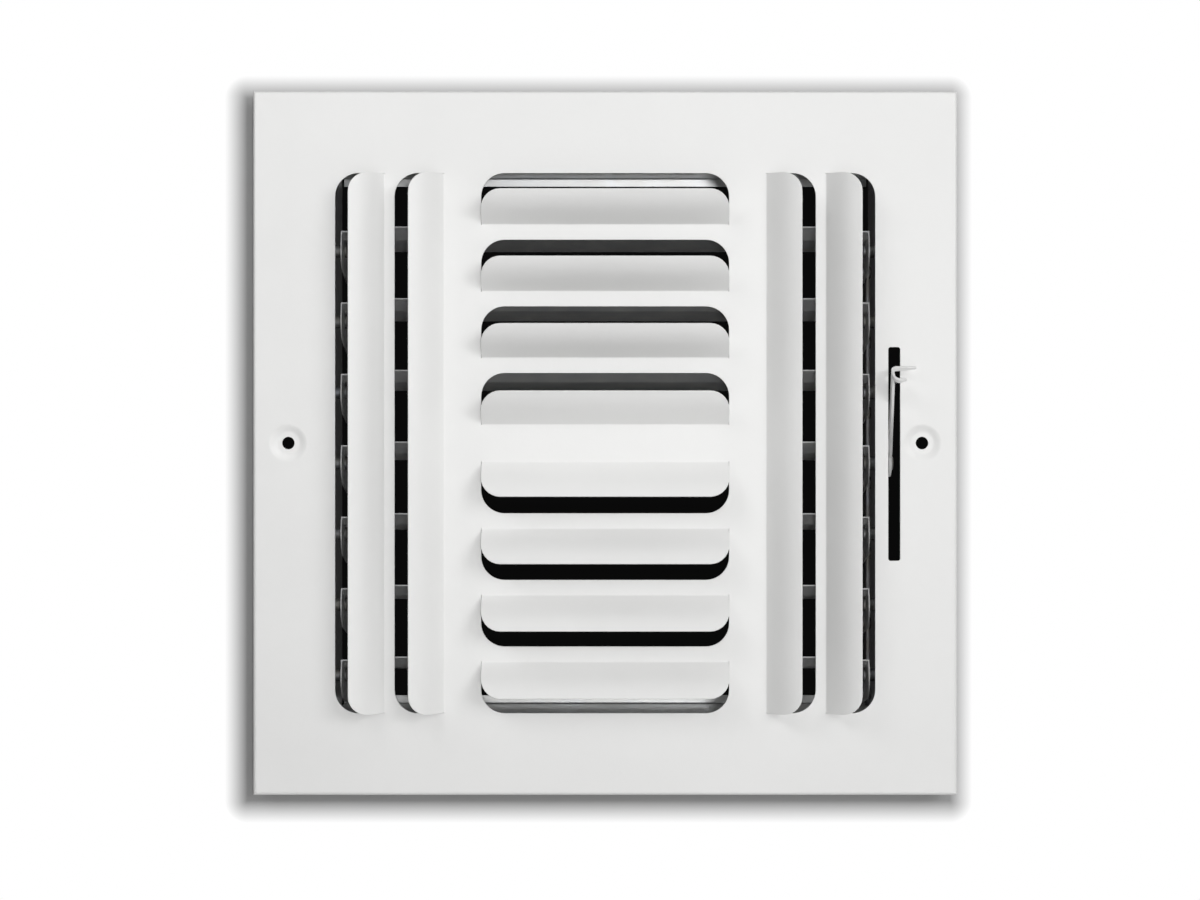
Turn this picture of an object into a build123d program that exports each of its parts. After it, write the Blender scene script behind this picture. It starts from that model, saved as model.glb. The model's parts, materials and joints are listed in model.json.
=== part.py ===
from build123d import *
import os
from math import cos, radians, sin, tan

# Sidewall register: a stamped face with fixed curved louvres and a lever-worked shutter damper behind it.
# Millimetres. X to the right seen from the room, Y into the wall, Z up.
# The origin is the centre of the face's outline on the wall plane, where the folded rim ends.

# Face stamping
face_size = 247.65
face_sheet = 0.76
rim_depth = 5.0
rim_fold_radius = 1.5
rim_corner_slit = 0.4
rim_corner_reach = 4.0

# Louvres: lanced tabs with a tight bend at the root and a broad crown
field_size = 189.8
centre_length = 87.1
centre_pitch = 23.42
centre_slot = 18.3
centre_rows = 4
side_pitch = 20.9
side_slot = 17.6
side_rows = 2
slot_corner_radius = 8.2
lance_gap = 0.3
louvre_root_radius = 1.2
louvre_flank_length = 5.87
louvre_crown_radius = 17.0
louvre_slope = 47.0
louvre_lip_slope = 18.0
lip_trim_angle = 3.0
lip_corner_radius = 7.0

# Dimpled screw holes
screw_spacing = 223.0
screw_hole_radius = 2.2
dimple_radius = 6.25
dimple_floor_radius = 4.0
dimple_depth = 1.0
dimple_bend_radius = 1.5
dimple_lead = 1.0

# Damper box
box_width = 195.2
box_height = 194.6
box_rear = 38.0
box_sheet = 0.6
box_bend_radius = 0.8
front_flange = 8.3
rear_flange = 3.0
lap_length = 10.0
lap_front_inset = 6.0
lap_rear_inset = 1.0
side_tab_length = 35.0
side_tab_reach = 7.8
side_tab_leg = 3.0
side_tab_height = 72.5

# Shutter blades
blade_count = 7
blade_pitch = 25.4
blade_chord = 26.6
blade_sheet = 0.5
blade_end_gap = 3.6
ridge_from_front = 8.0
ridge_depth = 2.0
ridge_radius = 3.0
ear_inset = 2.8
ear_depth = 13.3
ear_front_radius = 8.0
ear_rear_radius = 3.0
corner_cut = 7.0
rest_tilt = 15.0
closing_turn = 102.0

# Blade pivots
pivot_depth = 13.1
middle_pivot_height = -7.5
pivot_drop = 4.5
rivet_radius = 1.6
rivet_shoulder_radius = 2.3
rivet_head_radius = 2.4
rivet_wall_head_radius = 3.2
rivet_head_height = 0.9
head_round = 0.4
running_clearance = 0.08
seat_clearance = 0.05
fixed_clearance = 0.02

# Link that ties the blades together
crank_radius = 9.5
link_sheet = 1.0
link_width = 6.0
link_gap = 0.4
link_end = 4.5
link_pin_radius = 1.5
link_pin_head_radius = 2.3
link_pin_head_height = 0.8

# Lever, its shaft and its friction washer
lever_sheet = 1.0
lever_wall_gap = 3.3
lever_length = 40.2
lever_rise = 52.6
lever_lean = 2.8
lever_bend_start = 7.0
lever_bend_radius = 20.0
lever_hub_radius = 5.0
lever_arm_width = 5.0
lever_tip_width = 3.8
lever_slot_inner_gap = 2.0
lever_slot_outer_gap = 1.2
lever_slot_top_gap = 13.5
lever_slot_bottom_gap = 8.9
lever_slot_corner = 0.8
shaft_radius = 2.4
shaft_square = 3.2
shaft_collar_radius = 3.6
shaft_head_radius = 2.6
shaft_head_height = 0.8
washer_radius = 5.0
washer_height = 2.0
washer_sheet = 0.4
washer_wall_gap = 0.1

# Curled finger tab at the lever's end
tab_width = 1.6
tab_height = 7.6
tab_upper_reach = 8.4
tab_lower_reach = 4.2
tab_lower_lift = 0.9
tab_upper_radius = 1.7
tab_lower_radius = 2.4
tab_taper_start = 1.6
tab_tip_width = 0.7

# Face levels along Y and the louvre tab's shape
face_front = -rim_depth
face_back = face_front + face_sheet
face_middle = face_front + face_sheet / 2
field_half = field_size / 2
slope_sine = sin(radians(louvre_slope))
slope_cosine = cos(radians(louvre_slope))
root_reach = louvre_root_radius * slope_sine
root_rise = louvre_root_radius * (1 - slope_cosine)
crown_reach = louvre_crown_radius * (slope_sine - sin(radians(louvre_lip_slope)))
crown_rise = louvre_crown_radius * (cos(radians(louvre_lip_slope)) - slope_cosine)
louvre_reach = root_reach + louvre_flank_length * slope_cosine + crown_reach
louvre_rise = root_rise + louvre_flank_length * slope_sine + crown_rise

# Damper box walls, and where things stand along X
wall_inner = box_width / 2
wall_outer = wall_inner + box_sheet
web_inner = box_height / 2
ear_outer = wall_inner - blade_end_gap
ear_inner = ear_outer - blade_sheet
link_inner = ear_outer + link_gap
link_outer = link_inner + link_sheet
lever_inner = wall_outer + lever_wall_gap
lever_outer = lever_inner + lever_sheet
washer_top = wall_outer + washer_height

# Pivot heights from the top blade down, and the crank pin's place on a blade
middle_blade = (blade_count - 1) // 2
pivot_heights = [middle_pivot_height + (middle_blade - i) * blade_pitch for i in range(blade_count)]
crank_angle = rest_tilt - closing_turn / 2
crank_along = crank_radius * cos(radians(crank_angle))
crank_up = crank_radius * sin(radians(crank_angle))
crank_depth = pivot_depth + crank_radius * cos(radians(closing_turn / 2))
crank_drop = crank_radius * sin(radians(closing_turn / 2))

# Where the lever's arm crosses the face at both ends of its travel
lever_fall = closing_turn - lever_rise
face_ahead = pivot_depth - face_front
arm_half = lever_arm_width / 2
arm_top = middle_pivot_height + face_ahead * tan(radians(lever_rise)) + arm_half / cos(radians(lever_rise))
arm_bottom = middle_pivot_height - face_ahead * tan(radians(lever_fall)) - arm_half / cos(radians(lever_fall))
lever_slot_top = arm_top + lever_slot_top_gap
lever_slot_bottom = arm_bottom - lever_slot_bottom_gap
lever_slot_left = lever_inner - lever_slot_inner_gap
lever_slot_right = lever_outer + lever_slot_outer_gap

# Each louvre's root line: (x, z, turn in the face), with the free edge away from the face's centre
centre_roots = [field_half - i * centre_pitch - centre_slot for i in range(centre_rows)]
side_roots = [field_half - i * side_pitch - side_slot for i in range(side_rows)]
centre_places = [(0, side * root, 0 if side > 0 else 180) for side in (1, -1) for root in centre_roots]
side_places = [(side * root, 0, side * 90) for side in (1, -1) for root in side_roots]


def save(part, label):
    part.label = label
    export_step(part, f"parts/{label}.step")


def louvre(length):
    """One louvre tab: root line along X at the origin, free edge towards +Z, bulging towards -Y."""
    with BuildPart() as tab:
        with BuildSketch(Plane.YZ.offset(-length / 2)):
            with BuildLine():
                root = JernArc((0, 0), (0, 1), louvre_root_radius, louvre_slope)
                flank = Line(root @ 1, root @ 1 + (root % 1) * louvre_flank_length)
                crown_turn = louvre_slope - louvre_lip_slope + lip_trim_angle
                JernArc(flank @ 1, flank % 1, louvre_crown_radius, -crown_turn)
            trace(line_width=face_sheet)
        extrude(amount=length)
        with BuildSketch(Plane.XZ) as outline:
            Rectangle(length, 2 * louvre_reach)
            fillet(outline.vertices().group_by(Axis.Y)[-1], lip_corner_radius)
        extrude(amount=2 * louvre_rise, both=True, mode=Mode.INTERSECT)
    return tab.part


def slot_outline(length, width):
    """The lanced opening of one louvre: root line along the bottom, rounded corners at the free edge."""
    with BuildSketch() as slot:
        Rectangle(length, width, align=(Align.CENTER, Align.MIN))
        fillet(slot.vertices().group_by(Axis.Y)[-1], slot_corner_radius)
    return slot.sketch


def stepped_pin(steps):
    """A turned pin about the X axis through the origin, from steps of (start, end, radius)."""
    with BuildPart() as pin:
        for start, end, radius in steps:
            with BuildSketch(Plane.YZ.offset(start)):
                Circle(radius)
            extrude(amount=end - start)
        ends = pin.edges().filter_by(GeomType.CIRCLE).group_by(Axis.X)
        fillet(ends[0] + ends[-1], head_round)
    return pin.part


os.makedirs("parts", exist_ok=True)

# Tools for the face: the two lengths of louvre with their openings, and the dimple round a screw hole
centre_louvre = louvre(centre_length - 2 * lance_gap)
side_louvre = louvre(field_size - 2 * lance_gap)
centre_opening = slot_outline(centre_length, centre_slot)
side_opening = slot_outline(field_size, side_slot)

with BuildPart() as screw_dimple:
    with BuildSketch(Plane.XY):
        with BuildLine():
            FilletPolyline(
                (dimple_radius + dimple_lead, face_middle),
                (dimple_radius, face_middle),
                (dimple_floor_radius, face_middle + dimple_depth),
                (screw_hole_radius, face_middle + dimple_depth),
                radius=dimple_bend_radius,
            )
        trace(line_width=face_sheet)
    revolve(axis=Axis.Y)

# Face plate: tray with a folded rim, lanced louvres, dimples and the lever slot
with BuildPart() as face_plate:
    with BuildSketch(Plane.XZ.offset(rim_depth)):
        Rectangle(face_size, face_size)
    extrude(amount=-rim_depth)
    fillet(face_plate.faces().sort_by(Axis.Y)[0].edges(), rim_fold_radius)
    with BuildSketch(Plane.XZ):
        Rectangle(face_size - 2 * face_sheet, face_size - 2 * face_sheet)
    extrude(amount=rim_depth - face_sheet, mode=Mode.SUBTRACT)
    pocket_floor = face_plate.faces().filter_by(Plane.XZ).sort_by(SortBy.AREA)[-2:].sort_by(Axis.Y)[-1]
    fillet(pocket_floor.edges(), rim_fold_radius - face_sheet)
    slit_depth = rim_depth - rim_fold_radius
    for corner_x in (-1, 1):
        for corner_z in (-1, 1):
            corner = (corner_x * face_size / 2, -slit_depth / 2, corner_z * face_size / 2)
            with Locations(Location(corner, (0, 45 * corner_x * corner_z, 0))):
                Box(rim_corner_slit, slit_depth, rim_corner_reach, mode=Mode.SUBTRACT)
    with BuildSketch(Plane.XZ.offset(rim_depth)):
        for x, z, turn in centre_places:
            with Locations((x, z)):
                add(centre_opening, rotation=-turn)
        for x, z, turn in side_places:
            with Locations((x, z)):
                add(side_opening, rotation=-turn)
        with GridLocations(screw_spacing, 0, 2, 1):
            Circle(dimple_radius + dimple_lead)
    extrude(amount=-face_sheet, mode=Mode.SUBTRACT)
    with BuildSketch(Plane.XZ.offset(rim_depth)):
        with Locations(((lever_slot_left + lever_slot_right) / 2, (lever_slot_top + lever_slot_bottom) / 2)):
            RectangleRounded(
                lever_slot_right - lever_slot_left, lever_slot_top - lever_slot_bottom, lever_slot_corner
            )
    extrude(amount=-face_sheet, mode=Mode.SUBTRACT)
    with GridLocations(screw_spacing, 0, 2, 1):
        add(screw_dimple.part)
    for x, z, turn in centre_places:
        with Locations(Location((x, face_middle, z), (0, turn, 0))):
            add(centre_louvre)
    for x, z, turn in side_places:
        with Locations(Location((x, face_middle, z), (0, turn, 0))):
            add(side_louvre)
save(face_plate.part, "face_plate")

# Top and bottom rails of the damper box: web, outward front flange on the face, inward rear flange
web_middle = web_inner + box_sheet / 2
flange_front_middle = face_back + box_sheet / 2
flange_rear_middle = box_rear - box_sheet / 2
rail_half = wall_inner - box_bend_radius
for side, label in ((1, "frame_top_rail"), (-1, "frame_bottom_rail")):
    with BuildPart() as rail:
        with BuildSketch(Plane.YZ.offset(-rail_half)):
            with BuildLine():
                FilletPolyline(
                    (flange_front_middle, side * (web_inner + front_flange)),
                    (flange_front_middle, side * web_middle),
                    (flange_rear_middle, side * web_middle),
                    (flange_rear_middle, side * (web_inner - rear_flange)),
                    radius=box_bend_radius,
                )
            trace(line_width=box_sheet)
        extrude(amount=2 * rail_half)
    save(rail.part, label)

# Side walls of the damper box: pierced for the pivots, lapped over the rails, tabbed to the face
wall_middle = wall_inner + box_sheet / 2
lap_middle = web_inner + box_sheet * 1.5
lap_front = face_back + lap_front_inset
lap_rear = box_rear - lap_rear_inset
wall_depth = box_rear - face_back
for side, label in ((-1, "frame_left_side"), (1, "frame_right_side")):
    with BuildPart() as wall:
        with BuildSketch(Plane.YZ.offset(side * wall_middle)):
            with Locations((face_back + wall_depth / 2, 0)):
                Rectangle(wall_depth, box_height)
            with Locations(*[(face_back + side_tab_leg / 2, end * side_tab_height) for end in (-1, 1)]):
                Rectangle(side_tab_leg, side_tab_length, mode=Mode.SUBTRACT)
            for height in pivot_heights:
                driven = side > 0 and height == middle_pivot_height
                with Locations((pivot_depth, height)):
                    Circle(
                        shaft_radius + running_clearance if driven else rivet_radius + fixed_clearance,
                        mode=Mode.SUBTRACT,
                    )
        extrude(amount=box_sheet / 2, both=True)
        with BuildSketch(Plane.XZ.offset(-lap_front)):
            with BuildLine():
                FilletPolyline(
                    (side * (wall_inner - lap_length), lap_middle),
                    (side * wall_middle, lap_middle),
                    (side * wall_middle, -lap_middle),
                    (side * (wall_inner - lap_length), -lap_middle),
                    radius=box_bend_radius,
                )
            trace(line_width=box_sheet)
            with Locations((side * wall_middle, 0)):
                Rectangle(2 * box_sheet, box_height - 2 * box_bend_radius, mode=Mode.SUBTRACT)
        extrude(amount=lap_front - lap_rear)
        for end in (-1, 1):
            with BuildSketch(Plane.XY.offset(end * side_tab_height)):
                with BuildLine():
                    FilletPolyline(
                        (side * wall_middle, face_back + side_tab_leg),
                        (side * wall_middle, flange_front_middle),
                        (side * (wall_outer + side_tab_reach), flange_front_middle),
                        radius=box_bend_radius,
                    )
                trace(line_width=box_sheet)
            extrude(amount=side_tab_length / 2, both=True)
    save(wall.part, label)

# Shutter blades: creased sheet, front corners cut back to an ear bent down at each end, at the rest tilt
chord_half = blade_chord / 2
ridge_along = ridge_from_front - chord_half
ridge_up = pivot_drop - ridge_depth
ear_half = chord_half - ear_inset
ear_low = pivot_drop - ear_depth
tilt = radians(rest_tilt)
for i, height in enumerate(pivot_heights):
    driven = i == middle_blade
    chord_plane = Plane((0, pivot_depth, height), x_dir=(0, cos(tilt), -sin(tilt)), z_dir=(1, 0, 0))
    with BuildPart() as blade:
        with BuildSketch(chord_plane.offset(-ear_outer)):
            with BuildLine():
                FilletPolyline(
                    (-chord_half, pivot_drop),
                    (ridge_along, ridge_up),
                    (chord_half, pivot_drop),
                    radius=ridge_radius,
                )
            trace(line_width=blade_sheet)
        extrude(amount=2 * ear_outer)
        for side in (-1, 1):
            with BuildSketch(chord_plane.offset(side * (ear_outer - corner_cut / 2))):
                with Locations((-ear_half, pivot_drop)):
                    Rectangle(ear_inset + blade_sheet, 2 * ridge_depth, align=(Align.MAX, Align.CENTER))
            extrude(amount=corner_cut / 2, both=True, mode=Mode.SUBTRACT)
        front_up = pivot_drop - ridge_depth * ear_inset / ridge_from_front
        rear_up = pivot_drop - ridge_depth * ear_inset / (blade_chord - ridge_from_front)
        for side in (-1, 1):
            with BuildSketch(chord_plane.offset(side * (ear_outer - blade_sheet / 2))) as ear:
                Polygon(
                    (-ear_half, ear_low),
                    (ear_half, ear_low),
                    (ear_half, rear_up),
                    (ridge_along, ridge_up),
                    (-ear_half, front_up),
                    align=None,
                )
                low_corners = ear.vertices().group_by(Axis.Y)[0].sort_by(Axis.X)
                fillet(low_corners[0], ear_front_radius)
                fillet(low_corners[-1], ear_rear_radius)
                if driven and side > 0:
                    Rectangle(shaft_square, shaft_square, mode=Mode.SUBTRACT)
                else:
                    Circle(rivet_radius + running_clearance, mode=Mode.SUBTRACT)
                if side > 0:
                    with Locations((crank_along, crank_up)):
                        Circle(link_pin_radius + running_clearance, mode=Mode.SUBTRACT)
            extrude(amount=blade_sheet / 2, both=True)
    save(blade.part, f"blade_{i + 1}")

# Pivot rivets: clinched in the walls, with a shoulder that keeps each ear off its wall
rivet = stepped_pin(
    [
        (ear_inner - seat_clearance - rivet_head_height, ear_inner - seat_clearance, rivet_head_radius),
        (ear_inner - seat_clearance, ear_outer + seat_clearance, rivet_radius),
        (ear_outer + seat_clearance, wall_inner, rivet_shoulder_radius),
        (wall_inner, wall_outer, rivet_radius),
        (wall_outer, wall_outer + rivet_head_height, rivet_wall_head_radius),
    ]
)
with BuildPart() as pivot_rivets_left:
    for height in pivot_heights:
        with Locations(Location((0, pivot_depth, height), (0, 0, 180))):
            add(rivet)
save(pivot_rivets_left.part, "pivot_rivets_left")

with BuildPart() as pivot_rivets_right:
    for height in pivot_heights[:middle_blade] + pivot_heights[middle_blade + 1 :]:
        with Locations((0, pivot_depth, height)):
            add(rivet)
save(pivot_rivets_right.part, "pivot_rivets_right")

# Link bar and the pins that join it to the right-hand ears
crank_heights = [height - crank_drop for height in pivot_heights]
link_length = crank_heights[0] - crank_heights[-1] + 2 * link_end
with BuildPart() as link_bar:
    with BuildSketch(Plane.YZ.offset(link_inner)):
        with Locations((crank_depth, (crank_heights[0] + crank_heights[-1]) / 2)):
            RectangleRounded(link_width, link_length, link_width / 2 - fixed_clearance)
        with Locations(*[(crank_depth, height) for height in crank_heights]):
            Circle(link_pin_radius + fixed_clearance, mode=Mode.SUBTRACT)
    extrude(amount=link_sheet)
save(link_bar.part, "link_bar")

link_pin = stepped_pin(
    [
        (ear_inner - seat_clearance - link_pin_head_height, ear_inner - seat_clearance, link_pin_head_radius),
        (ear_inner - seat_clearance, ear_outer + seat_clearance, link_pin_radius),
        (ear_outer + seat_clearance, link_inner, link_pin_head_radius),
        (link_inner, link_outer, link_pin_radius),
        (link_outer, link_outer + link_pin_head_height, link_pin_head_radius),
    ]
)
with BuildPart() as link_pins:
    for height in crank_heights:
        with Locations((0, crank_depth, height)):
            add(link_pin)
save(link_pins.part, "link_pins")

# Lever shaft: round in the right wall, with a collar on the washer, square in the blade and the lever
tilt_plane = Plane(
    (0, pivot_depth, middle_pivot_height), x_dir=(0, cos(tilt), -sin(tilt)), z_dir=(1, 0, 0)
)
rise = radians(lever_rise)
lever_plane = Plane(
    (0, pivot_depth, middle_pivot_height), x_dir=(0, -cos(rise), sin(rise)), z_dir=(1, 0, 0)
)
with BuildPart() as lever_shaft:
    with BuildSketch(tilt_plane.offset(ear_outer)):
        Circle(shaft_radius)
    extrude(amount=lever_inner - ear_outer)
    with BuildSketch(tilt_plane.offset(washer_top)):
        Circle(shaft_collar_radius)
    extrude(amount=lever_inner - washer_top)
    with BuildSketch(tilt_plane.offset(ear_inner)):
        Rectangle(shaft_square, shaft_square)
    extrude(amount=blade_sheet)
    with BuildSketch(lever_plane.offset(lever_inner)):
        Rectangle(shaft_square, shaft_square)
    extrude(amount=lever_sheet)
    with BuildSketch(tilt_plane.offset(ear_inner)):
        Circle(shaft_head_radius)
    extrude(amount=-shaft_head_height)
    with BuildSketch(lever_plane.offset(lever_outer)):
        Circle(shaft_head_radius)
    extrude(amount=shaft_head_height)
    shaft_ends = lever_shaft.edges().filter_by(GeomType.CIRCLE).group_by(Axis.X)
    fillet(shaft_ends[0] + shaft_ends[-1], head_round)
save(lever_shaft.part, "lever_shaft")

# Friction washer: dished ring pressed between the right wall and the shaft's collar
washer_bore = shaft_radius + running_clearance
washer_foot = wall_outer + washer_wall_gap
with BuildPart() as friction_washer:
    with BuildSketch(Plane.XY.offset(middle_pivot_height)):
        with Locations((0, pivot_depth)):
            Polygon(
                (washer_foot, washer_radius),
                (washer_foot, washer_radius - washer_sheet),
                (washer_top - washer_sheet, washer_bore),
                (washer_top, washer_bore),
                (washer_top, washer_bore + washer_sheet),
                (washer_foot + washer_sheet, washer_radius),
                align=None,
            )
    revolve(axis=Axis((0, pivot_depth, middle_pivot_height), (1, 0, 0)))
save(friction_washer.part, "friction_washer")

# Lever: arm on the shaft's square, leaning towards the wall, with a curled two-pronged finger tab at its end
lever_middle = lever_inner + lever_sheet / 2
tab_root = lever_length - tab_width
lean_slope = tan(radians(lever_lean))
lean_room = lever_length * lean_slope
tab_middle = lever_middle - (tab_root - lever_bend_start) * lean_slope
section_end = lever_middle - (lever_length - lever_bend_start) * lean_slope
section_plane = Plane(lever_plane.origin, x_dir=lever_plane.x_dir, z_dir=-lever_plane.y_dir)
tab_plane = Plane(
    lever_plane.from_local_coords((tab_root, 0, tab_middle)), x_dir=(1, 0, 0), z_dir=lever_plane.x_dir
)
finger_plane = Plane(tab_plane.origin, x_dir=(1, 0, 0), z_dir=lever_plane.y_dir)
with BuildPart() as lever:
    with BuildSketch(lever_plane.offset(lever_inner - lean_room)):
        Circle(lever_hub_radius)
        Polygon(
            (0, -arm_half),
            (tab_root, -lever_tip_width / 2),
            (tab_root, lever_tip_width / 2),
            (0, arm_half),
            align=None,
        )
        Rectangle(shaft_square, shaft_square, mode=Mode.SUBTRACT)
    extrude(amount=lean_room + lever_sheet)
    with BuildSketch(section_plane):
        with BuildLine():
            FilletPolyline(
                (-2 * lever_hub_radius, lever_middle),
                (lever_bend_start, lever_middle),
                (lever_length, section_end),
                radius=lever_bend_radius,
            )
        trace(line_width=lever_sheet)
    extrude(amount=2 * lever_hub_radius, both=True, mode=Mode.INTERSECT)
    with BuildSketch(tab_plane):
        with BuildLine():
            FilletPolyline(
                (tab_upper_reach, tab_height / 2),
                (0, tab_height / 2),
                (0, -tab_height / 2),
                (tab_lower_reach, tab_lower_lift - tab_height / 2),
                radius=(tab_upper_radius, tab_lower_radius),
            )
        trace(line_width=lever_sheet)
    extrude(amount=tab_width)
    for reach, away in ((tab_upper_reach, -tab_height), (tab_lower_reach, tab_height)):
        with BuildSketch(finger_plane):
            Polygon(
                (tab_taper_start, 0),
                (reach + lever_sheet, 0),
                (reach + lever_sheet, tab_width - tab_tip_width),
                align=None,
            )
        extrude(amount=away, mode=Mode.SUBTRACT)
save(lever.part, "lever")
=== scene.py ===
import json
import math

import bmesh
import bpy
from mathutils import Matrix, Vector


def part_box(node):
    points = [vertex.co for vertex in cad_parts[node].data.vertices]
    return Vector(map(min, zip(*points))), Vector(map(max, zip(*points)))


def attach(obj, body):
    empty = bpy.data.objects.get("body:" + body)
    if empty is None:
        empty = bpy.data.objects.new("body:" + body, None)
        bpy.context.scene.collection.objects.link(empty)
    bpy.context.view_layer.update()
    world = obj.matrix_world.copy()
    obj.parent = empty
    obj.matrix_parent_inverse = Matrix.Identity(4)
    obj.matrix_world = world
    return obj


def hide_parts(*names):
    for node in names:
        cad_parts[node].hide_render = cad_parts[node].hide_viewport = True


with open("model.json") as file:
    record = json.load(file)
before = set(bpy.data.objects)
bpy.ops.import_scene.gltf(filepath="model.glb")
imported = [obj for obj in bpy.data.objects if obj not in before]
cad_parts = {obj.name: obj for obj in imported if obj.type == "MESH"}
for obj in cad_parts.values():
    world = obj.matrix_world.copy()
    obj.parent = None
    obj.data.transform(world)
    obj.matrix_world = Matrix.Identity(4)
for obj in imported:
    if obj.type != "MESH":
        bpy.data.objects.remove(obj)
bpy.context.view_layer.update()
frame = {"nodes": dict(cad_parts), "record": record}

# %% [markdown]
# # A stamped sidewall register
# The register is a pressed steel face with curved louvres, a shallow damper box behind it and seven shutter
# blades that a lever turns. Its exact solids are already loaded as a frame, in metres, with X to the right,
# Y into the wall and Z up. This lesson gives those solids their painted, galvanised and plated finish,
# remakes the face as soft-edged pressed sheet, and lights it like a product picture.

nodes = frame["nodes"]
mm = 0.001

# %% [markdown]
# ## Small helpers
# Two jobs come back again and again: placing a node in a node tree with its settings, and freezing an
# object's modifiers into a plain mesh. Operators could do the second, but they depend on what is selected,
# so the evaluated mesh is read directly.

# %% Node and mesh helpers
def add_node(tree, kind, settings=(), values=(), links=()):
    """One node with its settings, socket values and incoming links."""
    node = tree.nodes.new(kind)
    for name, value in dict(settings).items():
        setattr(node, name, value)
    for name, value in dict(values).items():
        node.inputs[name].default_value = value
    for name, source in dict(links).items():
        tree.links.new(source, node.inputs[name])
    return node


def new_object(name, mesh):
    """An object at the origin that shows the mesh."""
    shown = bpy.data.objects.new(name, mesh)
    bpy.context.scene.collection.objects.link(shown)
    return shown


def mesh_from(bm, name):
    """A mesh made from a finished bmesh."""
    mesh = bpy.data.meshes.new(name)
    bm.to_mesh(mesh)
    bm.free()
    return mesh


def freeze(shown):
    """Turns an object's modifiers into plain mesh data."""
    shown.data.update()
    graph = bpy.context.evaluated_depsgraph_get()
    plain = bpy.data.meshes.new_from_object(shown.evaluated_get(graph), depsgraph=graph)
    shown.modifiers.clear()
    shown.data = plain
    return shown


def soften(shown, edge, steps=2):
    """Rounds sharp edges as paint does, and keeps the broad faces flat in the shading."""
    bevel = shown.modifiers.new("Paint round", "BEVEL")
    bevel.width = edge
    bevel.segments = steps
    bevel.limit_method = "ANGLE"
    bevel.angle_limit = math.radians(38)
    bevel.use_clamp_overlap = False
    weighted = shown.modifiers.new("Flat faces", "WEIGHTED_NORMAL")
    weighted.weight = 100
    freeze(shown)


def dress(shown, body, slot, finish, *replaced):
    """Hands a finished piece to its body, with its finish and the CAD nodes that it stands for."""
    shown.data.materials.clear()
    shown.data.materials.append(finish)
    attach(shown, body)
    if replaced:
        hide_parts(*replaced)
    print(shown.name, "rides on", body, "with", len(shown.data.polygons), "faces")


# %% [markdown]
# ## Finishes
# The face and the lever are white baked enamel, the damper box and its blades are bare galvanised sheet,
# and the pins, link and washer are zinc plated. Enamel isn't a flat white: the film flows into a faint
# orange peel, its gloss drifts a little from place to place and fine grit lies under it. One shared node
# group makes that, so each enamel part can have its own peel size and gloss. An image texture would do too,
# but a procedural film has no seams and needs no unwrapping.

# %% Node group for the enamel film
def new_group(name, inputs, outputs):
    """A shader node group with named sockets; returns its tree, its input node and its output node."""
    tree = bpy.data.node_groups.new(name, "ShaderNodeTree")
    for socket, kind, value in inputs:
        made = tree.interface.new_socket(name=socket, in_out="INPUT", socket_type=kind)
        if value is not None:
            made.default_value = value
    for socket, kind in outputs:
        tree.interface.new_socket(name=socket, in_out="OUTPUT", socket_type=kind)
    return tree, tree.nodes.new("NodeGroupInput"), tree.nodes.new("NodeGroupOutput")


def noise(tree, vector, scale, detail=2.0, rough=0.5):
    """A noise texture whose scale is a socket or a number."""
    made = add_node(tree, "ShaderNodeTexNoise", values={"Detail": detail, "Roughness": rough})
    tree.links.new(vector, made.inputs["Vector"])
    if isinstance(scale, bpy.types.NodeSocket):
        tree.links.new(scale, made.inputs["Scale"])
    else:
        made.inputs["Scale"].default_value = scale
    return made.outputs["Fac"]


def ranged(tree, value, low, high):
    """Maps the useful middle of a noise to a range; its ends are numbers or sockets."""
    made = add_node(
        tree, "ShaderNodeMapRange", values={"From Min": 0.3, "From Max": 0.7}, links={"Value": value}
    )
    for name, bound in (("To Min", low), ("To Max", high)):
        if isinstance(bound, bpy.types.NodeSocket):
            tree.links.new(bound, made.inputs[name])
        else:
            made.inputs[name].default_value = bound
    return made.outputs["Result"]


def enamel_film_group():
    """Enamel film: colour drift, gloss drift, and the height of orange peel and fine grit."""
    tree, given, out = new_group(
        "Enamel film",
        [
            ("Vector", "NodeSocketVector", None),
            ("Light Paint", "NodeSocketColor", (0.88, 0.88, 0.87, 1.0)),
            ("Dark Paint", "NodeSocketColor", (0.84, 0.84, 0.83, 1.0)),
            ("Drift Scale", "NodeSocketFloat", 30.0),
            ("Peel Scale", "NodeSocketFloat", 700.0),
            ("Least Roughness", "NodeSocketFloat", 0.3),
            ("Most Roughness", "NodeSocketFloat", 0.4),
        ],
        [("Color", "NodeSocketColor"), ("Roughness", "NodeSocketFloat"), ("Height", "NodeSocketFloat")],
    )
    drift = noise(tree, given.outputs["Vector"], given.outputs["Drift Scale"], 3.0)
    shade = add_node(tree, "ShaderNodeMix", {"data_type": "RGBA"})
    tree.links.new(ranged(tree, drift, 0.0, 1.0), shade.inputs[0])
    tree.links.new(given.outputs["Dark Paint"], shade.inputs[6])
    tree.links.new(given.outputs["Light Paint"], shade.inputs[7])
    tree.links.new(shade.outputs[2], out.inputs["Color"])
    gloss = ranged(tree, drift, given.outputs["Least Roughness"], given.outputs["Most Roughness"])
    tree.links.new(gloss, out.inputs["Roughness"])
    peel = noise(tree, given.outputs["Vector"], given.outputs["Peel Scale"], 1.0)
    grit_scale = add_node(
        tree, "ShaderNodeMath", {"operation": "MULTIPLY"}, {1: 3.3}, {0: given.outputs["Peel Scale"]}
    )
    grit = noise(tree, given.outputs["Vector"], grit_scale.outputs[0], 2.0)
    height = add_node(
        tree, "ShaderNodeMath", {"operation": "MULTIPLY_ADD"}, {1: 0.35}, {0: grit, 2: peel}
    )
    tree.links.new(height.outputs[0], out.inputs["Height"])
    return tree


enamel_film = enamel_film_group()
print("enamel film group has", len(enamel_film.nodes), "nodes")


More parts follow.
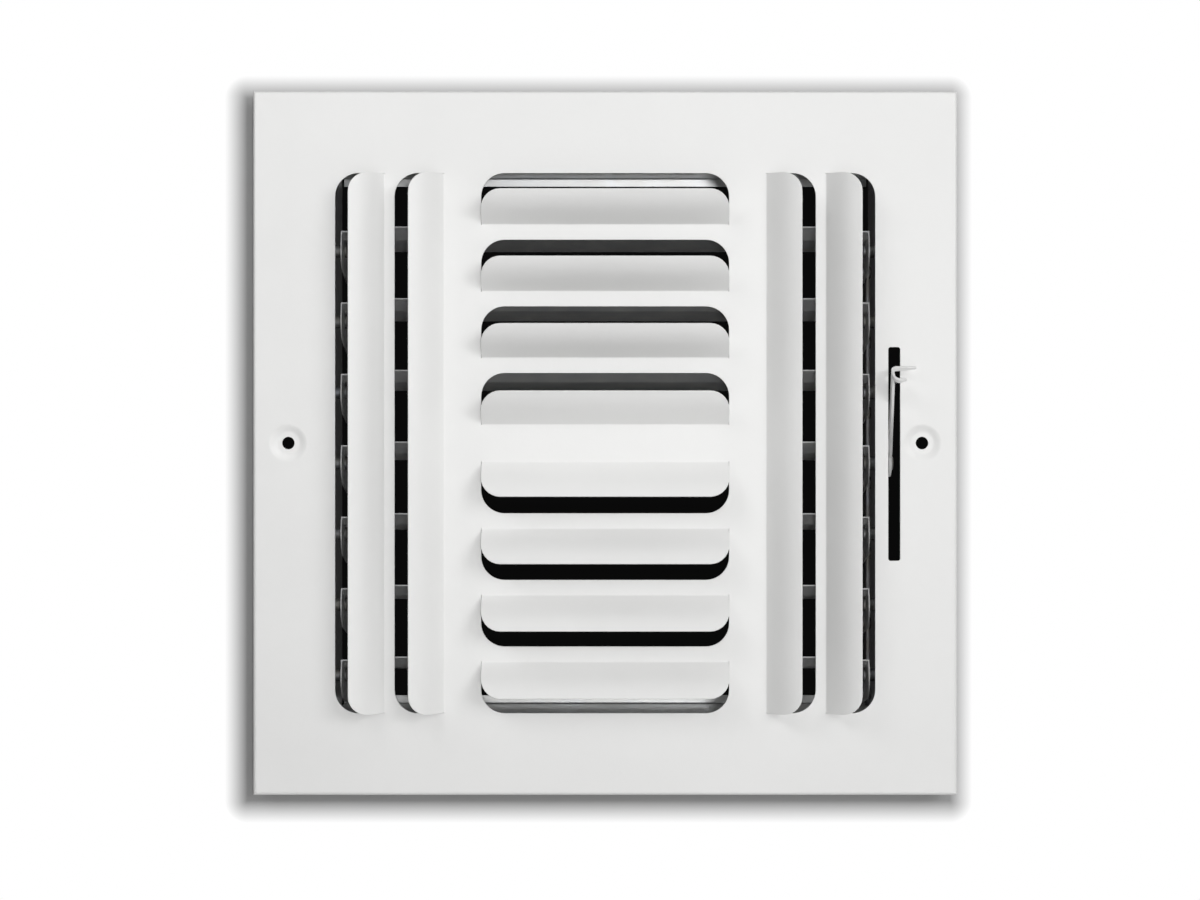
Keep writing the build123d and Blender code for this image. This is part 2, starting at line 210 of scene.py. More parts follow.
# %% [markdown]
# The galvanised sheet and the plated parts share a second group. Both are zinc on steel, so their look is
# nearly all in the reflection: faint draw lines along the part, a cloudy gloss and a slight tint, from
# grey-blue to straw. In the picture the blades are paler than bare metal came out, so they are made only
# partly metallic.

# %% Node group for zinc plate
def zinc_plate_group():
    """Zinc on steel: tinted metal, cloudy gloss and fine draw lines."""
    tree, given, out = new_group(
        "Zinc plate",
        [
            ("Vector", "NodeSocketVector", None),
            ("Blue Tint", "NodeSocketColor", (0.42, 0.44, 0.47, 1.0)),
            ("Straw Tint", "NodeSocketColor", (0.48, 0.46, 0.42, 1.0)),
            ("Line Stretch", "NodeSocketVector", (1.0, 1.0, 1.0)),
            ("Least Roughness", "NodeSocketFloat", 0.45),
            ("Most Roughness", "NodeSocketFloat", 0.62),
        ],
        [("Color", "NodeSocketColor"), ("Roughness", "NodeSocketFloat"), ("Height", "NodeSocketFloat")],
    )
    cloud = noise(tree, given.outputs["Vector"], 160.0, 3.0)
    tint = add_node(tree, "ShaderNodeMix", {"data_type": "RGBA"})
    tree.links.new(ranged(tree, cloud, 0.0, 1.0), tint.inputs[0])
    tree.links.new(given.outputs["Blue Tint"], tint.inputs[6])
    tree.links.new(given.outputs["Straw Tint"], tint.inputs[7])
    tree.links.new(tint.outputs[2], out.inputs["Color"])
    gloss = ranged(tree, cloud, given.outputs["Least Roughness"], given.outputs["Most Roughness"])
    tree.links.new(gloss, out.inputs["Roughness"])
    stretched = add_node(tree, "ShaderNodeVectorMath", {"operation": "MULTIPLY"})
    tree.links.new(given.outputs["Vector"], stretched.inputs[0])
    tree.links.new(given.outputs["Line Stretch"], stretched.inputs[1])
    lines = noise(tree, stretched.outputs[0], 2500.0, 2.0)
    tree.links.new(lines, out.inputs["Height"])
    return tree


zinc_plate = zinc_plate_group()
print("zinc plate group has", len(zinc_plate.nodes), "nodes")


# %% [markdown]
# A finish is then a short function: it places its group on Object coordinates, sends the colour and gloss
# to a Principled BSDF and the height to a Bump node. The bump stands for relief of a few microns, far below
# what the mesh should carry.

# %% Materials
def finish_material(name, group, values, bump_strength, bump_distance, metal=0.0):
    """A material that shows one of the finish groups."""
    made = bpy.data.materials.new(name)
    made.use_nodes = True
    tree = made.node_tree
    shader = tree.nodes["Principled BSDF"]
    place = add_node(tree, "ShaderNodeTexCoord")
    film = add_node(tree, "ShaderNodeGroup", {"node_tree": group}, values)
    tree.links.new(place.outputs["Object"], film.inputs["Vector"])
    bump = add_node(
        tree,
        "ShaderNodeBump",
        values={"Strength": bump_strength, "Distance": bump_distance},
        links={"Height": film.outputs["Height"]},
    )
    tree.links.new(film.outputs["Color"], shader.inputs["Base Color"])
    tree.links.new(film.outputs["Roughness"], shader.inputs["Roughness"])
    tree.links.new(bump.outputs["Normal"], shader.inputs["Normal"])
    shader.inputs["Metallic"].default_value = metal
    return made


def grey(value, warm=0.99):
    """A paint grey with a trace of warmth in the blue channel."""
    return (value, value, value * warm, 1.0)


face_enamel = finish_material(
    "face_enamel",
    enamel_film,
    {
        "Light Paint": grey(0.88),
        "Dark Paint": grey(0.85),
        "Drift Scale": 22.0,
        "Peel Scale": 620.0,
        "Least Roughness": 0.40,
        "Most Roughness": 0.50,
    },
    0.35,
    0.05 * mm,
)
galvanised_sheet = finish_material(
    "galvanised_sheet",
    zinc_plate,
    {
        "Blue Tint": (0.48, 0.49, 0.50, 1.0),
        "Straw Tint": (0.55, 0.55, 0.54, 1.0),
        "Line Stretch": (0.02, 1.0, 1.0),
        "Least Roughness": 0.36,
        "Most Roughness": 0.43,
    },
    0.08,
    0.03 * mm,
    metal=1.0,
)
dulled_sheet = finish_material(
    "dulled_sheet",
    zinc_plate,
    {
        "Blue Tint": (0.50, 0.51, 0.52, 1.0),
        "Straw Tint": (0.57, 0.57, 0.56, 1.0),
        "Line Stretch": (0.02, 1.0, 1.0),
        "Least Roughness": 0.46,
        "Most Roughness": 0.56,
    },
    0.08,
    0.03 * mm,
    metal=0.6,
)
lever_enamel = finish_material(
    "lever_enamel",
    enamel_film,
    {
        "Light Paint": grey(0.85),
        "Dark Paint": grey(0.80),
        "Drift Scale": 150.0,
        "Peel Scale": 900.0,
        "Least Roughness": 0.28,
        "Most Roughness": 0.40,
    },
    0.3,
    0.04 * mm,
)
plated_steel = finish_material(
    "plated_steel",
    zinc_plate,
    {
        "Blue Tint": (0.25, 0.26, 0.28, 1.0),
        "Straw Tint": (0.30, 0.29, 0.26, 1.0),
        "Line Stretch": (1.0, 1.0, 0.06),
        "Least Roughness": 0.55,
        "Most Roughness": 0.70,
    },
    0.25,
    0.03 * mm,
    metal=1.0,
)
finishes = (face_enamel, galvanised_sheet, dulled_sheet, lever_enamel, plated_steel)
print("materials", [finish.name for finish in finishes])

# %% [markdown]
# ## The pressed face
# The face is one sheet, 0.76 mm thick: flat, with a rim folded back round its edge, twelve louvres lanced
# out of it, a slot for the lever and two dimpled screw holes. The CAD solid has the right form but
# knife-sharp edges and long triangles, so the same sheet is built again from its middle surface and
# thickened at the end. First come the sizes, which are the solid's own.

# %% Sizes of the face
face_low, face_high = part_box("face_plate")
face_half = face_high.x
wall_plane = face_high.y
sheet = 0.76 * mm
rim_depth = 5.0 * mm
fold_radius = 1.5 * mm
corner_slit = 0.4 * mm
sheet_middle = wall_plane - rim_depth + sheet / 2

field_half = 94.9 * mm
lance_gap = 0.12 * mm
slot_corner = 8.2 * mm
root_radius = 1.2 * mm
flank_reach = 4.0 * mm
crown_radius = 17.0 * mm
slope = math.radians(47)
lip_slope = math.radians(18)
lip_corner = 7.0 * mm
root_reach = root_radius * math.sin(slope)
root_rise = root_radius * (1 - math.cos(slope))
crown_start = root_reach + flank_reach
crown_rise = root_rise + flank_reach * math.tan(slope)
louvre_reach = crown_start + crown_radius * (math.sin(slope) - math.sin(lip_slope))

centre_louvre = {
    "length": 87.1 * mm, "slot": 18.3 * mm, "pitch": 23.42 * mm, "count": 4, "columns": 8, "turn": 0.0
}
side_louvre = {
    "length": 2 * field_half, "slot": 17.6 * mm, "pitch": 20.9 * mm, "count": 2, "columns": 16,
    "turn": math.pi / 2,
}
for louvre in (centre_louvre, side_louvre):
    louvre["first_root"] = field_half - louvre["slot"]
print("louvre stands", round((face_low.y + rim_depth) / -mm, 2), "mm proud of the face")

# %% [markdown]
# A louvre leaves the face in an S curve: a tight arc bends it out of the sheet, a straight flank carries it
# forward, and a wide arc turns it back until its lip has only a slight slope left. Seen from the front,
# each point of it has one height, so a grid of rows and columns is enough, with the height worked out from
# the distance to the root. The rows are placed where the curve bends and where the rounded corners of the
# lip need them.

# %% One louvre tab
root_steps = 5
flank_steps = 4
lip_steps = (0, 13, 26, 39, 52, 64, 76, 90)


def louvre_height(distance):
    """How far the sheet stands out, at a distance from the louvre's root."""
    if distance <= root_reach:
        return root_radius - math.sqrt(root_radius**2 - distance**2)
    if distance <= crown_start:
        return root_rise + (distance - root_reach) * math.tan(slope)
    lean = math.sin(slope) - (distance - crown_start) / crown_radius
    return crown_rise + crown_radius * (math.sqrt(1 - lean**2) - math.cos(slope))


def louvre_rows(length):
    """Rows of a tab from root to lip, as (distance from the root, half length)."""
    half = length / 2 - lance_gap
    lip_start = louvre_reach - lip_corner
    rows = [(root_radius * math.sin(slope * i / root_steps), half) for i in range(root_steps + 1)]
    for i in range(1, flank_steps):
        rows.append((root_reach + flank_reach * i / flank_steps, half))
    for degrees in lip_steps:
        corner = math.radians(degrees)
        rows.append((lip_start + lip_corner * math.sin(corner), half - lip_corner * (1 - math.cos(corner))))
    return rows


def root_points(louvre):
    """Places along a louvre's root where its columns start."""
    half = louvre["length"] / 2 - lance_gap
    return [half * (2 * i / louvre["columns"] - 1) for i in range(louvre["columns"] + 1)]


def louvre_tab(louvre):
    """The middle surface of one tab, root along X at the origin, free lip towards +Z."""
    bm = bmesh.new()
    full = louvre["length"] / 2 - lance_gap
    lines = []
    for distance, half in louvre_rows(louvre["length"]):
        y = sheet_middle - louvre_height(distance)
        lines.append([bm.verts.new((u * half / full, y, distance)) for u in root_points(louvre)])
    for near, far in zip(lines, lines[1:]):
        for i in range(louvre["columns"]):
            bm.faces.new((near[i], near[i + 1], far[i + 1], far[i]))
    return mesh_from(bm, "louvre_tab")


print("a tab has", len(louvre_rows(centre_louvre["length"])), "rows")

# %% [markdown]
# The rest of the face is built round the louvre openings. Each opening is an outline with two rounded
# corners, and its root line has the same points as the tab that grows from it, so that the two weld. The
# flat sheet between the outlines is filled in one go. The rim and the dimples are rings that continue from
# it.

# %% The flat sheet with its openings, rim and dimples
def arc(centre_u, centre_v, radius, start, end, steps):
    """Points of an arc, angles in degrees."""
    turns = [math.radians(start + (end - start) * i / steps) for i in range(steps + 1)]
    return [(centre_u + radius * math.cos(t), centre_v + radius * math.sin(t)) for t in turns]


def opening_outline(louvre, root):
    """The lanced opening of one louvre, as points (along its root, away from the centre)."""
    half = louvre["length"] / 2
    far = root + louvre["slot"] - slot_corner
    points = [(u, root) for u in root_points(louvre)]
    points.append((half, root))
    points += arc(half - slot_corner, far, slot_corner, 0, 90, 10)
    points += arc(slot_corner - half, far, slot_corner, 90, 180, 10)
    points.append((-half, root))
    return points


def turned(points, turn):
    """Points of the face turned about its centre, as the louvre bank is."""
    return [
        (u * math.cos(turn) + v * math.sin(turn), v * math.cos(turn) - u * math.sin(turn)) for u, v in points
    ]


def closed_edges(bm, points, y):
    """A closed loop of new vertices and its edges."""
    loop = [bm.verts.new((x, y, z)) for x, z in points]
    edges = [bm.edges.new((loop[i - 1], loop[i])) for i in range(len(loop))]
    return loop, edges


def bridge(bm, near, far):
    """Quads between two loops of as many vertices."""
    for i in range(len(near)):
        bm.faces.new((near[i - 1], near[i], far[i], far[i - 1]))


lever_slot_low, lever_slot_high = (99.5 * mm, -41.37 * mm), (103.7 * mm, 33.75 * mm)
lever_slot_corner = 0.8 * mm
screw_place = 111.5 * mm
screw_hole = 2.2 * mm
dimple_edge = 6.9 * mm
dimple_floor = 3.6 * mm
dimple_depth = 1.0 * mm
dimple_sides = 48


def lever_slot_outline():
    """The upright slot that the lever passes through."""
    (left, low), (right, high) = lever_slot_low, lever_slot_high
    r = lever_slot_corner
    corners = [
        (right - r, high - r, 0),
        (left + r, high - r, 90),
        (left + r, low + r, 180),
        (right - r, low + r, 270),
    ]
    return [p for u, v, start in corners for p in arc(u, v, r, start, start + 90, 4)]


def dimple_rings():
    """Rings of a dimple as (radius, depth), from the flat sheet to the screw hole."""
    rings = [(dimple_edge, 0.0)]
    for i in range(1, 11):
        share = i / 10
        depth = dimple_depth * (0.5 - 0.5 * math.cos(math.pi * share))
        rings.append((dimple_edge + (dimple_floor - dimple_edge) * share, depth))
    return rings + [(screw_hole, dimple_depth)]


def add_rim(bm, corners):
    """The folded rim: a rolled edge all round, then four flanges that are slit at the corners."""
    middle_radius = fold_radius - sheet / 2
    ring = corners
    for i in range(1, 7):
        bend = math.radians(15 * i)
        half = face_half - fold_radius + middle_radius * math.sin(bend)
        y = wall_plane - rim_depth + fold_radius - middle_radius * math.cos(bend)
        signs = [(math.copysign(1, v.co.x), math.copysign(1, v.co.z)) for v in corners]
        outer = [bm.verts.new((sx * half, y, sz * half)) for sx, sz in signs]
        bridge(bm, ring, outer)
        ring = outer
    for i in range(4):
        first, last = ring[i - 1], ring[i]
        along = (last.co - first.co).normalized() * corner_slit / 2
        low_first, low_last = first.co + along, last.co - along
        low_first.y = low_last.y = wall_plane
        bm.faces.new((first, last, bm.verts.new(low_last), bm.verts.new(low_first)))


def face_sheet_mesh():
    """The face's middle surface without its louvres."""
    bm = bmesh.new()
    flat = face_half - fold_radius
    square = [(-flat, -flat), (flat, -flat), (flat, flat), (-flat, flat)]
    corners, edges = closed_edges(bm, square, sheet_middle)
    for louvre in (centre_louvre, side_louvre):
        for i in range(louvre["count"]):
            outline = opening_outline(louvre, louvre["first_root"] - i * louvre["pitch"])
            for half_turn in (0.0, math.pi):
                edges += closed_edges(bm, turned(outline, louvre["turn"] + half_turn), sheet_middle)[1]
    edges += closed_edges(bm, lever_slot_outline(), sheet_middle)[1]
    rings = dimple_rings()
    for side in (-1, 1):
        loops = []
        for radius, depth in rings:
            circle = arc(side * screw_place, 0, radius, 0, 360, dimple_sides)[:-1]
            loop, loop_edges = closed_edges(bm, circle, sheet_middle + depth)
            loops.append(loop)
            if radius == dimple_edge:
                edges += loop_edges
        for near, far in zip(loops, loops[1:]):
            bridge(bm, near, far)
    bmesh.ops.triangle_fill(bm, use_beauty=True, edges=edges)
    add_rim(bm, corners)
    return mesh_from(bm, "face_sheet")


face = new_object("face_enamelled", face_sheet_mesh())
print("flat sheet, rim and dimples:", len(face.data.polygons), "faces")

# %% [markdown]
# The louvres repeat, so a Geometry Nodes tree sets them out: a row of points, a tab on each, the same row
# turned half round for the other side of the face, and the whole bank turned for the side louvres. Copying
# meshes in a loop would work as well, but the tree keeps count, pitch and direction as inputs that can be
# tried by hand.

# %% Geometry Nodes tree that repeats a piece in two facing rows
def facing_rows_tree():
    """Adds two facing rows of an object to the incoming mesh and welds them to it."""
    tree = bpy.data.node_groups.new("Facing rows", "GeometryNodeTree")
    for name, kind in (
        ("Geometry", "NodeSocketGeometry"),
        ("Copy", "NodeSocketObject"),
        ("Count", "NodeSocketInt"),
        ("Start", "NodeSocketVector"),
        ("Step", "NodeSocketVector"),
        ("Turn", "NodeSocketFloat"),
        ("Weld Distance", "NodeSocketFloat"),
        ("Material", "NodeSocketMaterial"),
    ):
        tree.interface.new_socket(name=name, in_out="INPUT", socket_type=kind)
    tree.interface.new_socket(name="Geometry", in_out="OUTPUT", socket_type="NodeSocketGeometry")
    given, out = tree.nodes.new("NodeGroupInput"), tree.nodes.new("NodeGroupOutput")
    copy = add_node(
        tree, "GeometryNodeObjectInfo", values={"As Instance": True}, links={"Object": given.outputs["Copy"]}
    )
    points = add_node(
        tree,
        "GeometryNodeMeshLine",
        links={
            "Count": given.outputs["Count"],
            "Start Location": given.outputs["Start"],
            "Offset": given.outputs["Step"],
        },
    )
    row = add_node(
        tree,
        "GeometryNodeInstanceOnPoints",
        links={"Points": points.outputs["Mesh"], "Instance": copy.outputs["Geometry"]},
    )
    facing = add_node(
        tree,
        "GeometryNodeTransform",
        values={"Rotation": (0.0, math.pi, 0.0)},
        links={"Geometry": row.outputs["Instances"]},
    )
    both = add_node(tree, "GeometryNodeJoinGeometry")
    tree.links.new(row.outputs["Instances"], both.inputs["Geometry"])
    tree.links.new(facing.outputs["Geometry"], both.inputs["Geometry"])
    angles = add_node(tree, "ShaderNodeCombineXYZ", links={"Y": given.outputs["Turn"]})
    bank = add_node(
        tree,
        "GeometryNodeTransform",
        links={"Geometry": both.outputs["Geometry"], "Rotation": angles.outputs["Vector"]},
    )
    joined = add_node(tree, "GeometryNodeJoinGeometry")
    tree.links.new(bank.outputs["Geometry"], joined.inputs["Geometry"])
    tree.links.new(given.outputs["Geometry"], joined.inputs["Geometry"])
    real = add_node(tree, "GeometryNodeRealizeInstances", links={"Geometry": joined.outputs["Geometry"]})
    welded = add_node(
        tree,
        "GeometryNodeMergeByDistance",
        links={"Geometry": real.outputs["Geometry"], "Distance": given.outputs["Weld Distance"]},
    )
    painted = add_node(
        tree,
        "GeometryNodeSetMaterial",
        links={"Geometry": welded.outputs["Geometry"], "Material": given.outputs["Material"]},
    )
    tree.links.new(painted.outputs["Geometry"], out.inputs["Geometry"])
    return tree


facing_rows = facing_rows_tree()
weld_distance = 0.01 * mm
row_inputs = {i.name: i.identifier for i in facing_rows.interface.items_tree if i.in_out == "INPUT"}


def repeat_in_rows(shown, copy, count, start, step, turn, material):
    """Runs the tree on an object and keeps the result as its plain mesh."""
    rows = shown.modifiers.new("Facing rows", "NODES")
    rows.node_group = facing_rows
    wanted = {
        "Copy": copy, "Count": count, "Start": start, "Step": step, "Turn": turn,
        "Weld Distance": weld_distance, "Material": material,
    }
    for name, value in wanted.items():
        rows[row_inputs[name]] = value
    freeze(shown)
    bpy.data.objects.remove(copy)


for louvre in (centre_louvre, side_louvre):
    repeat_in_rows(
        face,
        new_object("louvre_tab", louvre_tab(louvre)),
        louvre["count"],
        (0.0, 0.0, louvre["first_root"]),
        (0.0, 0.0, -louvre["pitch"]),
        louvre["turn"],
        face_enamel,
    )
print("with its louvres:", len(face.data.polygons), "faces")

# %% [markdown]
# Now the middle surface gets its thickness, half to each side, and its cut edges get the small round that
# paint leaves on them. That round is what draws the bright line along each lip. Weighted normals keep the
# flat sheet flat in the shading, although it shares points with the rounds.

# %% Thickness and soft edges
def thicken(shown, thickness):
    """Gives a middle surface its thickness, with the normals turned outwards first."""
    bm = bmesh.new()
    bm.from_mesh(shown.data)
    bmesh.ops.recalc_face_normals(bm, faces=bm.faces)
    bm.to_mesh(shown.data)
    bm.free()
    shell = shown.modifiers.new("Sheet", "SOLIDIFY")
    shell.thickness = thickness
    shell.offset = 0.0
    shell.use_even_offset = True
    freeze(shown)


sheet_edge = 0.1 * mm
thicken(face, sheet)
face.data.shade_smooth()
soften(face, sheet_edge)
dress(face, "frame", "white_enamel", face_enamel, "face_plate")

# %% [markdown]
# ## The damper and its moving pieces
# The box and the blades are galvanised sheet left bare, cut and folded from coil, and the lever is a
# painted arm. Their solids have the right form, but perfectly sharp edges never catch the light. A copy of
# each solid is merged, its flat triangles are joined into whole faces, and a small bevel rounds its edges.
# The copy rides on the body of the solid that it stands for. Modelling the sheets again would only risk a
# clash with the pins that they turn on.

# %% Soft-edged copies of the sheet pieces
body_of = {node: body for body, members in frame["record"]["behaviour"]["bodies"].items() for node in members}
slot_of = {row["node"]: row["material_slot"] for row in frame["record"]["subparts"]}
merge_distance = 0.001 * mm
flat_angle = math.radians(0.5)


def soft_copy(node, edge, finish):
    """A merged copy of a solid with rounded edges, in the solid's place."""
    bm = bmesh.new()
    bm.from_mesh(nodes[node].data)
    bmesh.ops.remove_doubles(bm, verts=bm.verts, dist=merge_distance)
    bmesh.ops.dissolve_limit(bm, angle_limit=flat_angle, verts=bm.verts, edges=bm.edges)
    copy = new_object(node + "_soft", mesh_from(bm, node + "_soft"))
    copy.data.shade_smooth()
    soften(copy, edge)
    dress(copy, body_of[node], slot_of[node], finish, node)


for node, slot in slot_of.items():
    if slot == "galvanised_sheet":
        soft_copy(node, sheet_edge, dulled_sheet if node.startswith("blade") else galvanised_sheet)
lever_edge = 0.15 * mm
soft_copy("lever", lever_edge, lever_enamel)

# %% [markdown]
# Pins, link, shaft and washer stay as they are, and only take their plated finish.

# %% Finish of the plated pieces
for node, slot in slot_of.items():
    if slot == "zinc_plate":
        nodes[node].material_slots[0].material = plated_steel
print("plated:", [node for node, slot in slot_of.items() if slot == "zinc_plate"])

# %% [markdown]
# ## Camera
# The picture was taken straight on, from a point a little above the middle of the face. The picture's own
# measures give the lens: the face is 705 pixels wide in a frame of 1200, and the louvres' parallax puts the
# camera about 0.76 m away. The view isn't tilted; the frame is shifted instead, so upright lines stay
# upright.

# %% Camera from the picture's measures
picture_width = 1200
picture_height = 900
face_width_px = 704.8
face_middle_px = (605.15, 443.15)
level_point_px = (605.0, 403.0)
camera_distance = 760 * mm
sensor_width = 36.0

scale_px = face_width_px / (2 * face_half)
camera_data = bpy.data.cameras.new("camera")
camera_data.sensor_width = sensor_width
camera_data.lens = sensor_width * camera_distance * scale_px / picture_width
camera_data.shift_x = (picture_width / 2 - level_point_px[0]) / picture_width
camera_data.shift_y = (level_point_px[1] - picture_height / 2) / picture_width
camera = bpy.data.objects.new("camera", camera_data)
bpy.context.scene.collection.objects.link(camera)
camera.location = (
    (level_point_px[0] - face_middle_px[0]) / scale_px,
    wall_plane - rim_depth - camera_distance,
    (face_middle_px[1] - level_point_px[1]) / scale_px,
)
camera.rotation_euler = (math.pi / 2, 0.0, 0.0)
bpy.context.scene.camera = camera
print("lens", round(camera_data.lens, 1), "mm")
print("shift", round(camera_data.shift_x, 4), round(camera_data.shift_y, 4))

# %% [markdown]
# ## Stage
# The register hangs a little off a wall, so a patch of wall behind its rim takes the lamps' drop shadow.
# Next to the rim the patch is also painted grey, a painted shadow that fades into the white background,
# further out at the left and below. Dark cards are painted shade: black sheets for the unlit duct and wall
# cavity behind the box, behind the rim and behind the lever's slot. They are black to the camera from the
# front and clear from the rear. The one behind the rim lets all light through, and the others nearly none.
# A pale floor lies below the picture. All of these are stage, not product.

# %% Wall patch, duct card and floor
def stage_material(name):
    """An empty node material and its output socket."""
    made = bpy.data.materials.new(name)
    made.use_nodes = True
    made.node_tree.nodes.clear()
    out = made.node_tree.nodes.new("ShaderNodeOutputMaterial")
    return made, made.node_tree, out.inputs["Surface"]


def mix_shader(tree, fac, first, second):
    """Mixes two shaders by a mask."""
    mix = tree.nodes.new("ShaderNodeMixShader")
    tree.links.new(fac, mix.inputs[0])
    tree.links.new(first, mix.inputs[1])
    tree.links.new(second, mix.inputs[2])
    return mix.outputs[0]


def painted_shadow_patch_material(fade_from, fade_to, lean):
    """Painted shadow: grey wall by the rim, fading to white at its edge, wider left and below by its lean."""
    made, tree, surface = stage_material("wall_patch")
    place = add_node(tree, "ShaderNodeTexCoord")
    shift = add_node(
        tree,
        "ShaderNodeMapping",
        values={"Location": (lean, 0.0, lean)},
        links={"Vector": place.outputs["Object"]},
    )
    axes = add_node(tree, "ShaderNodeSeparateXYZ", links={"Vector": shift.outputs["Vector"]})
    beyond = add_node(tree, "ShaderNodeCombineXYZ")
    for axis in ("X", "Z"):
        size = add_node(tree, "ShaderNodeMath", {"operation": "ABSOLUTE"}, links={0: axes.outputs[axis]})
        past = add_node(
            tree, "ShaderNodeMath", {"operation": "SUBTRACT"}, {1: fade_from}, {0: size.outputs[0]}
        )
        kept = add_node(tree, "ShaderNodeMath", {"operation": "MAXIMUM"}, {1: 0.0}, {0: past.outputs[0]})
        tree.links.new(kept.outputs[0], beyond.inputs[axis])
    span = add_node(tree, "ShaderNodeVectorMath", {"operation": "LENGTH"}, links={0: beyond.outputs[0]})
    fade = add_node(
        tree,
        "ShaderNodeMapRange",
        values={"From Min": 0.0, "From Max": fade_to - fade_from},
        links={"Value": span.outputs["Value"]},
    )
    # The grey by the rim is a painted shadow, on top of the lamps' real shadow on the patch.
    paint = add_node(tree, "ShaderNodeBsdfDiffuse", values={"Color": (0.36, 0.36, 0.36, 1.0)})
    white = add_node(tree, "ShaderNodeEmission", values={"Strength": 1.0})
    gone = add_node(tree, "ShaderNodeBsdfTransparent")
    ray = add_node(tree, "ShaderNodeLightPath")
    shown_fade = add_node(
        tree,
        "ShaderNodeMath",
        {"operation": "MULTIPLY"},
        links={0: fade.outputs["Result"], 1: ray.outputs["Is Camera Ray"]},
    )
    front = mix_shader(tree, shown_fade.outputs[0], paint.outputs[0], white.outputs[0])
    side = add_node(tree, "ShaderNodeNewGeometry")
    tree.links.new(mix_shader(tree, side.outputs["Backfacing"], front, gone.outputs[0]), surface)
    return made


def painted_shade_card_material(light_let_in):
    """Painted shade: black to the camera from the front, clear from the rear, with a share of the light let
    through.
    """
    made, tree, surface = stage_material("duct_card")
    ray = add_node(tree, "ShaderNodeLightPath")
    side = add_node(tree, "ShaderNodeNewGeometry")
    front = add_node(
        tree, "ShaderNodeMath", {"operation": "SUBTRACT"}, {0: 1.0}, {1: side.outputs["Backfacing"]}
    )
    held_back = add_node(
        tree,
        "ShaderNodeMath",
        {"operation": "MAXIMUM"},
        {1: 1.0 - light_let_in},
        {0: ray.outputs["Is Camera Ray"]},
    )
    dark = add_node(
        tree,
        "ShaderNodeMath",
        {"operation": "MULTIPLY"},
        links={0: held_back.outputs[0], 1: front.outputs[0]},
    )
    black = add_node(tree, "ShaderNodeEmission", values={"Color": (0.003, 0.003, 0.003, 1.0)})
    gone = add_node(tree, "ShaderNodeBsdfTransparent")
    tree.links.new(mix_shader(tree, dark.outputs[0], gone.outputs[0], black.outputs[0]), surface)
    return made


def upright_card(name, left, right, low, high, y, material, hole=None):
    """A card facing the room, with a square hole of that half width round the origin if one is given."""
    bm = bmesh.new()
    outer = [bm.verts.new((x, y, z)) for x, z in ((left, low), (right, low), (right, high), (left, high))]
    if hole:
        corners = ((-hole, -hole), (hole, -hole), (hole, hole), (-hole, hole))
        bridge(bm, outer, [bm.verts.new((x, y, z)) for x, z in corners])
    else:
        bm.faces.new(outer)
    card = new_object(name, mesh_from(bm, name))
    card.data.materials.append(material)
    return card


# The lean shifts the painted shadow further out at the left and below.
patch_gap = 6 * mm
painted_shadow_lean = 2.4 * mm
patch_half = face_half + 9.3 * mm
patch_fade_start = face_half + 1.3 * mm
patch_hole = 106 * mm
wall_patch = upright_card(
    "wall_patch",
    -patch_half - painted_shadow_lean,
    patch_half - painted_shadow_lean,
    -patch_half - painted_shadow_lean,
    patch_half - painted_shadow_lean,
    wall_plane + patch_gap,
    painted_shadow_patch_material(patch_fade_start, patch_half, painted_shadow_lean),
    hole=patch_hole,
)

# Painted shade: black cards where the duct, the cavity behind the rim and the lever's slot lie unlit.
duct_half = 98.1 * mm
duct_gap = 0.5 * mm
box_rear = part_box("frame_right_side")[1].y
painted_shade_black = painted_shade_card_material(0.02)
duct_card = upright_card(
    "duct_card", -duct_half, duct_half, -duct_half, duct_half, box_rear + duct_gap, painted_shade_black
)

tray_half = face_half - sheet
tray_inset = 0.2 * mm
tray_hole = 102 * mm
tray_card = upright_card(
    "tray_card",
    -tray_half,
    tray_half,
    -tray_half,
    tray_half,
    wall_plane - tray_inset,
    painted_shade_card_material(1.0),
    hole=tray_hole,
)

strip_left = 101.5 * mm
strip_right = 106 * mm
strip_overlap = 6 * mm
strip_depth = 21 * mm
slot_strip = upright_card(
    "slot_strip",
    strip_left,
    strip_right,
    lever_slot_low[1] - strip_overlap,
    lever_slot_high[1] + strip_overlap,
    strip_depth,
    painted_shade_black,
)

floor_height = -280 * mm
floor_bm = bmesh.new()
floor_side, floor_front, floor_rear = 1.6, -1.7, 0.42
floor_corners = (
    (-floor_side, floor_front), (floor_side, floor_front), (floor_side, floor_rear), (-floor_side, floor_rear)
)
floor_bm.faces.new([floor_bm.verts.new((x, y, floor_height)) for x, y in floor_corners])
floor = new_object("floor", mesh_from(floor_bm, "floor"))
floor_paint, floor_tree, floor_surface = stage_material("floor")
floor_diffuse = add_node(floor_tree, "ShaderNodeBsdfDiffuse", values={"Color": (0.82, 0.82, 0.82, 1.0)})
floor_tree.links.new(floor_diffuse.outputs[0], floor_surface)
floor.data.materials.append(floor_paint)
print("stage:", [o.name for o in (wall_patch, duct_card, tray_card, slot_strip, floor)])

# %% [markdown]
# ## Light
# A large key lamp at the upper right gives the louvres their shading, and its shadow falls to the lower
# left. Two small lamps near the camera fill the face, a near one at the left and a near one above brighten
# its upper half, and one behind lights the rear for other views. The world is white to the camera and in
# reflections. As a light source it gives nothing from the room and only a little from behind.

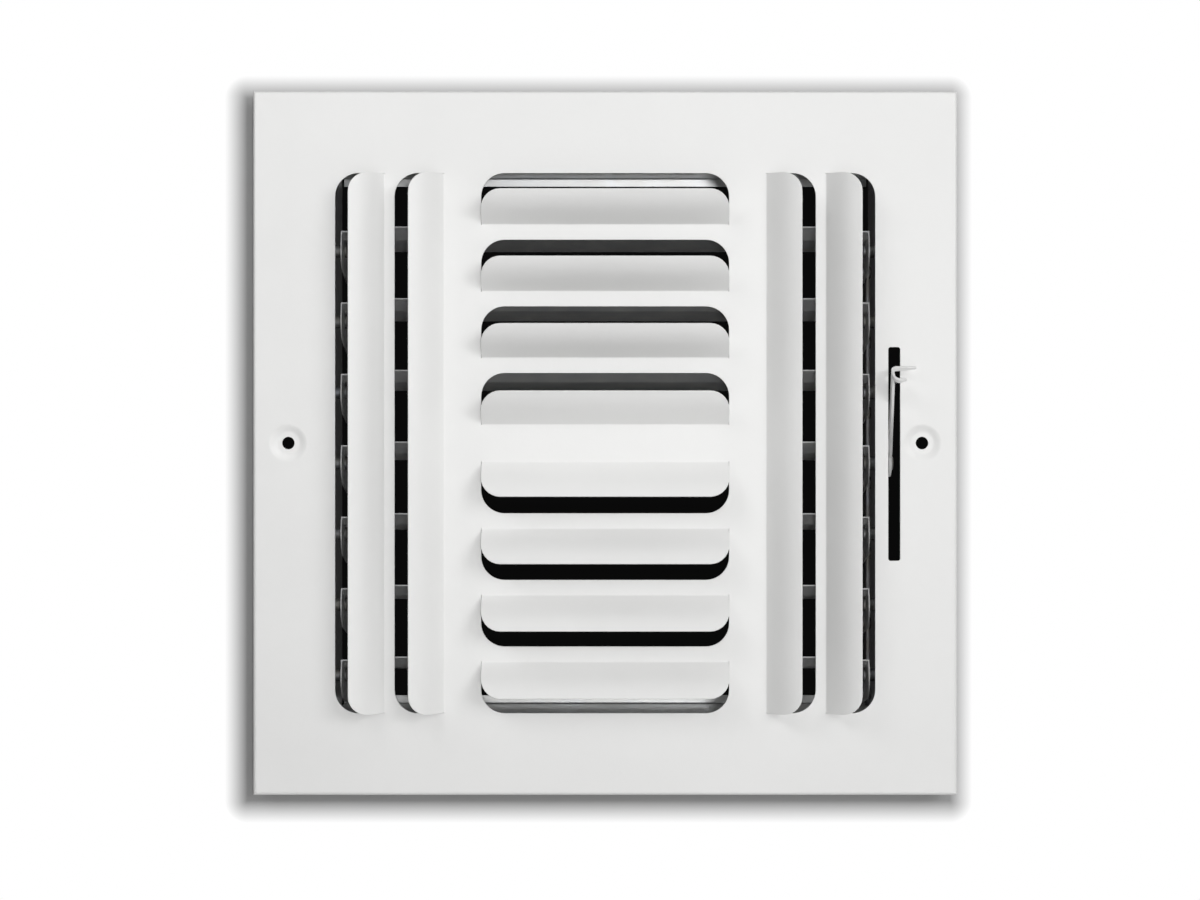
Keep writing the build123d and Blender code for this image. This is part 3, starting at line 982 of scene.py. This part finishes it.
# %% World and lamps
def studio_world(front_light, rear_light):
    """White to the eye and in reflections; as a lamp, one strength from the room and one from the rear."""
    world = bpy.data.worlds.new("studio")
    world.use_nodes = True
    tree = world.node_tree
    tree.nodes.clear()
    out = tree.nodes.new("ShaderNodeOutputWorld")
    place = add_node(tree, "ShaderNodeTexCoord")
    axes = add_node(tree, "ShaderNodeSeparateXYZ", links={"Vector": place.outputs["Generated"]})
    level = add_node(
        tree,
        "ShaderNodeMapRange",
        {"interpolation_type": "SMOOTHSTEP"},
        {"From Min": -0.4, "From Max": 0.3, "To Min": front_light, "To Max": rear_light},
        {"Value": axes.outputs["Y"]},
    )
    lamp = add_node(tree, "ShaderNodeBackground", links={"Strength": level.outputs["Result"]})
    white = add_node(tree, "ShaderNodeBackground", values={"Strength": 1.0})
    for background in (lamp, white):
        background.inputs["Color"].default_value = (1.0, 1.0, 1.0, 1.0)
    ray = add_node(tree, "ShaderNodeLightPath")
    seen = ray.outputs["Is Camera Ray"]
    for kind in ("Is Glossy Ray", "Is Transmission Ray"):
        seen = add_node(
            tree, "ShaderNodeMath", {"operation": "MAXIMUM"}, links={0: seen, 1: ray.outputs[kind]}
        ).outputs[0]
    tree.links.new(mix_shader(tree, seen, lamp.outputs[0], white.outputs[0]), out.inputs["Surface"])
    bpy.context.scene.world = world


def soft_lamp(name, place, size, watts):
    """A round soft lamp at a place, turned to the middle of the face."""
    data = bpy.data.lights.new(name, "AREA")
    data.shape = "DISK"
    data.size = size
    data.energy = watts
    lamp = bpy.data.objects.new(name, data)
    bpy.context.scene.collection.objects.link(lamp)
    lamp.location = place
    lamp.rotation_euler = (-Vector(place)).to_track_quat("-Z", "Y").to_euler()
    return lamp


studio_world(0.0, 0.08)
for name, place, size, watts in (
    ("key", (1.4, -1.5, 0.7), 1.1, 16.0),
    ("front", (0.1, -1.2, 0.0), 0.12, 3.3),
    ("front_right", (0.45, -1.2, 0.12), 0.15, 0.8),
    ("left_near", (-0.4, -0.4, 0.45), 0.3, 1.0),
    ("top", (0.0, -0.6, 0.5), 0.4, 0.6),
    ("rear_fill", (0.3, 1.4, 0.7), 0.8, 8.0),
):
    soft_lamp(name, place, size, watts)
bpy.context.scene.view_settings.view_transform = "Standard"
